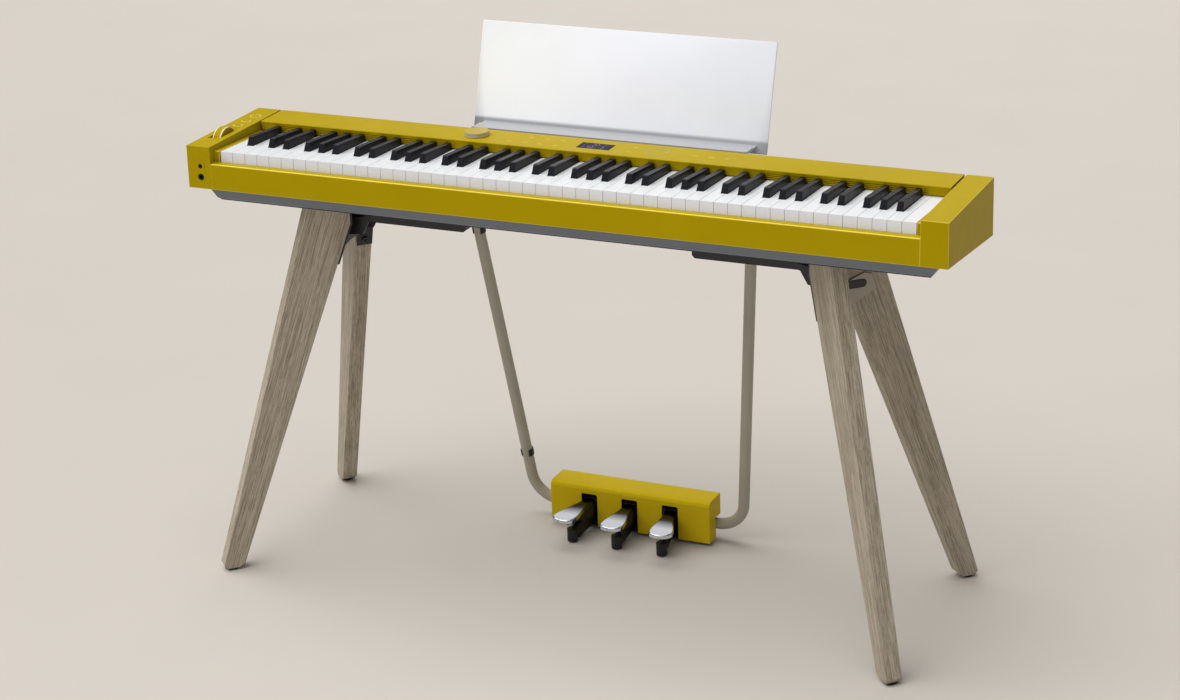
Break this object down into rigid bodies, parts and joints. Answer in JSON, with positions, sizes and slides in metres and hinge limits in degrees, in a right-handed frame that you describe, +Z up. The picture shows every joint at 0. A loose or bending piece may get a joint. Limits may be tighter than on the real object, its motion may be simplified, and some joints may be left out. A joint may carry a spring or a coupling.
{
  "type": "digital piano on stand",
  "caption": "Slim full-size digital piano on a splayed wooden stand, with hinged keys, a lift-out music rest and a floor-standing pedal unit.",
  "frame": {"origin": "on the floor, midway between the four feet, which is the middle of the footprint", "axes": "+X to the player's right along the keyboard, +Y away from the player, +Z up"},
  "size_m": [1.34, 0.456, 0.91],
  "materials": {
    "mustard": "satin moulded plastic",
    "case_grey": "fine texture",
    "black_plastic": "satin",
    "black_steel": "satin powder coat",
    "oak": "grey-stained oak, open grain",
    "tube_paint": "satin taupe paint",
    "ivory": "satin key surface",
    "ebony": "matt key surface with fine grain",
    "steel": "brushed",
    "pedal_chrome": "polished",
    "rest_sheet": "frosted translucent sheet",
    "display": "polished window",
    "icon_print": "pale printed inlay",
    "felt": "pressed felt",
    "board": "circuit board",
    "rubber_black": "matt"
  },
  "bodies": {
    "root": {"lower_case": "case_grey", "base_plate": "black_steel", "left_end_block": "mustard", "left_end_cap": "mustard", "right_end_block": "mustard", "key_cheeks": "mustard", "front_rail": "mustard", "top_panel": "mustard", "rear_panel": "case_grey", "terminal_plate": "black_plastic", "rest_holders": "black_plastic", "display_window": "display", "touch_icons": "icon_print", "headphone_plate": "mustard", "headphone_jacks": "black_plastic", "key_chassis": "black_plastic", "key_pivot_rail": "steel", "key_felt": "felt", "circuit_boards": "board", "speakers": "black_plastic", "left_bracket": "black_steel", "right_bracket": "black_steel", "front_left_leg": "oak", "front_right_leg": "oak", "rear_left_leg": "oak", "rear_right_leg": "oak", "foot_pads": "rubber_black", "leg_plates": "tube_paint", "stand_bolts": "black_steel", "pedal_tube_left": "tube_paint", "pedal_tube_right": "tube_paint", "pedal_tube_base": "tube_paint", "tube_clips": "black_plastic", "pedal_box": "mustard", "pedal_box_back": "black_plastic", "pedal_supports": "black_plastic", "pedal_pins": "steel"},
    "bass_keys": {"bass_white_keys": "ivory", "bass_black_keys": "ebony"},
    "treble_keys": {"treble_white_keys": "ivory", "treble_black_keys": "ebony"},
    "key_c4": {"key_c4": "ivory"},
    "key_c_sharp_4": {"key_c_sharp_4": "ebony"},
    "key_d4": {"key_d4": "ivory"},
    "key_d_sharp_4": {"key_d_sharp_4": "ebony"},
    "key_e4": {"key_e4": "ivory"},
    "key_f4": {"key_f4": "ivory"},
    "key_f_sharp_4": {"key_f_sharp_4": "ebony"},
    "volume_knob": {"volume_knob": "mustard"},
    "pitch_wheel": {"pitch_wheel": "mustard"},
    "power_button": {"power_button": "mustard"},
    "control_button_1": {"control_button_1": "mustard"},
    "control_button_2": {"control_button_2": "mustard"},
    "music_rest": {"music_rest": "rest_sheet"},
    "left_pedal": {"left_pedal_pad": "pedal_chrome", "left_pedal_lever": "black_plastic"},
    "middle_pedal": {"middle_pedal_pad": "pedal_chrome", "middle_pedal_lever": "black_plastic"},
    "right_pedal": {"right_pedal_pad": "pedal_chrome", "right_pedal_lever": "black_plastic"}
  },
  "joints": [
    {"name": "press_c4", "type": "hinge", "parent": "root", "child": "key_c4", "pos_m": [0, 0.07308, 0.71026], "axis": [1, 0, 0], "range_deg": [0, 3], "stiffness_Nm_per_rad": 1.2, "springref_deg": -17.19},
    {"name": "press_c_sharp_4", "type": "hinge", "parent": "root", "child": "key_c_sharp_4", "pos_m": [0, 0.07308, 0.71026], "axis": [1, 0, 0], "range_deg": [0, 3], "stiffness_Nm_per_rad": 1.2, "springref_deg": -17.19},
    {"name": "press_d4", "type": "hinge", "parent": "root", "child": "key_d4", "pos_m": [0, 0.07308, 0.71026], "axis": [1, 0, 0], "range_deg": [0, 3], "stiffness_Nm_per_rad": 1.2, "springref_deg": -17.19},
    {"name": "press_d_sharp_4", "type": "hinge", "parent": "root", "child": "key_d_sharp_4", "pos_m": [0, 0.07308, 0.71026], "axis": [1, 0, 0], "range_deg": [0, 3], "stiffness_Nm_per_rad": 1.2, "springref_deg": -17.19},
    {"name": "press_e4", "type": "hinge", "parent": "root", "child": "key_e4", "pos_m": [0, 0.07308, 0.71026], "axis": [1, 0, 0], "range_deg": [0, 3], "stiffness_Nm_per_rad": 1.2, "springref_deg": -17.19},
    {"name": "press_f4", "type": "hinge", "parent": "root", "child": "key_f4", "pos_m": [0, 0.07308, 0.71026], "axis": [1, 0, 0], "range_deg": [0, 3], "stiffness_Nm_per_rad": 1.2, "springref_deg": -17.19},
    {"name": "press_f_sharp_4", "type": "hinge", "parent": "root", "child": "key_f_sharp_4", "pos_m": [0, 0.07308, 0.71026], "axis": [1, 0, 0], "range_deg": [0, 3], "stiffness_Nm_per_rad": 1.2, "springref_deg": -17.19},
    {"name": "press_bass_keys", "type": "hinge", "parent": "root", "child": "bass_keys", "pos_m": [0, 0.07308, 0.71026], "axis": [1, 0, 0], "range_deg": [0, 3], "stiffness_Nm_per_rad": 30, "springref_deg": -17.19},
    {"name": "press_treble_keys", "type": "hinge", "parent": "root", "child": "treble_keys", "pos_m": [0, 0.07308, 0.71026], "axis": [1, 0, 0], "range_deg": [0, 3], "stiffness_Nm_per_rad": 30, "springref_deg": -17.19},
    {"name": "left_pedal_press", "type": "hinge", "parent": "root", "child": "left_pedal", "pos_m": [-0.07113, 0.19234, 0.062], "axis": [0.9816, -0.1908, 0], "range_deg": [0, 6], "stiffness_Nm_per_rad": 5, "springref_deg": -5.73},
    {"name": "middle_pedal_press", "type": "hinge", "parent": "root", "child": "middle_pedal", "pos_m": [0, 0.193, 0.062], "axis": [1, 0, 0], "range_deg": [0, 6], "stiffness_Nm_per_rad": 5, "springref_deg": -5.73},
    {"name": "right_pedal_press", "type": "hinge", "parent": "root", "child": "right_pedal", "pos_m": [0.07113, 0.19234, 0.062], "axis": [0.9816, 0.1908, 0], "range_deg": [0, 6], "stiffness_Nm_per_rad": 5, "springref_deg": -5.73},
    {"name": "volume_turn", "type": "hinge", "parent": "root", "child": "volume_knob", "pos_m": [-0.22, 0.068, 0.75], "axis": [0, 0, 1], "range_deg": [-145, 145]},
    {"name": "pitch_turn", "type": "hinge", "parent": "root", "child": "pitch_wheel", "pos_m": [-0.648, -0.049, 0.7295], "axis": [1, 0, 0], "range_deg": [-35, 35], "stiffness_Nm_per_rad": 0.05},
    {"name": "power_button_press", "type": "slide", "parent": "root", "child": "power_button", "axis": [0, 0, -1], "range_m": [0, 0.0008], "stiffness_N_per_m": 400, "springref_m": -0.002},
    {"name": "control_button_1_press", "type": "slide", "parent": "root", "child": "control_button_1", "axis": [0, 0, -1], "range_m": [0, 0.0008], "stiffness_N_per_m": 400, "springref_m": -0.002},
    {"name": "control_button_2_press", "type": "slide", "parent": "root", "child": "control_button_2", "axis": [0, 0, -1], "range_m": [0, 0.0008], "stiffness_N_per_m": 400, "springref_m": -0.002},
    {"name": "music_rest_lift", "type": "slide", "parent": "root", "child": "music_rest", "axis": [0, 0, 1], "range_m": [0, 0.06]}
  ]
}
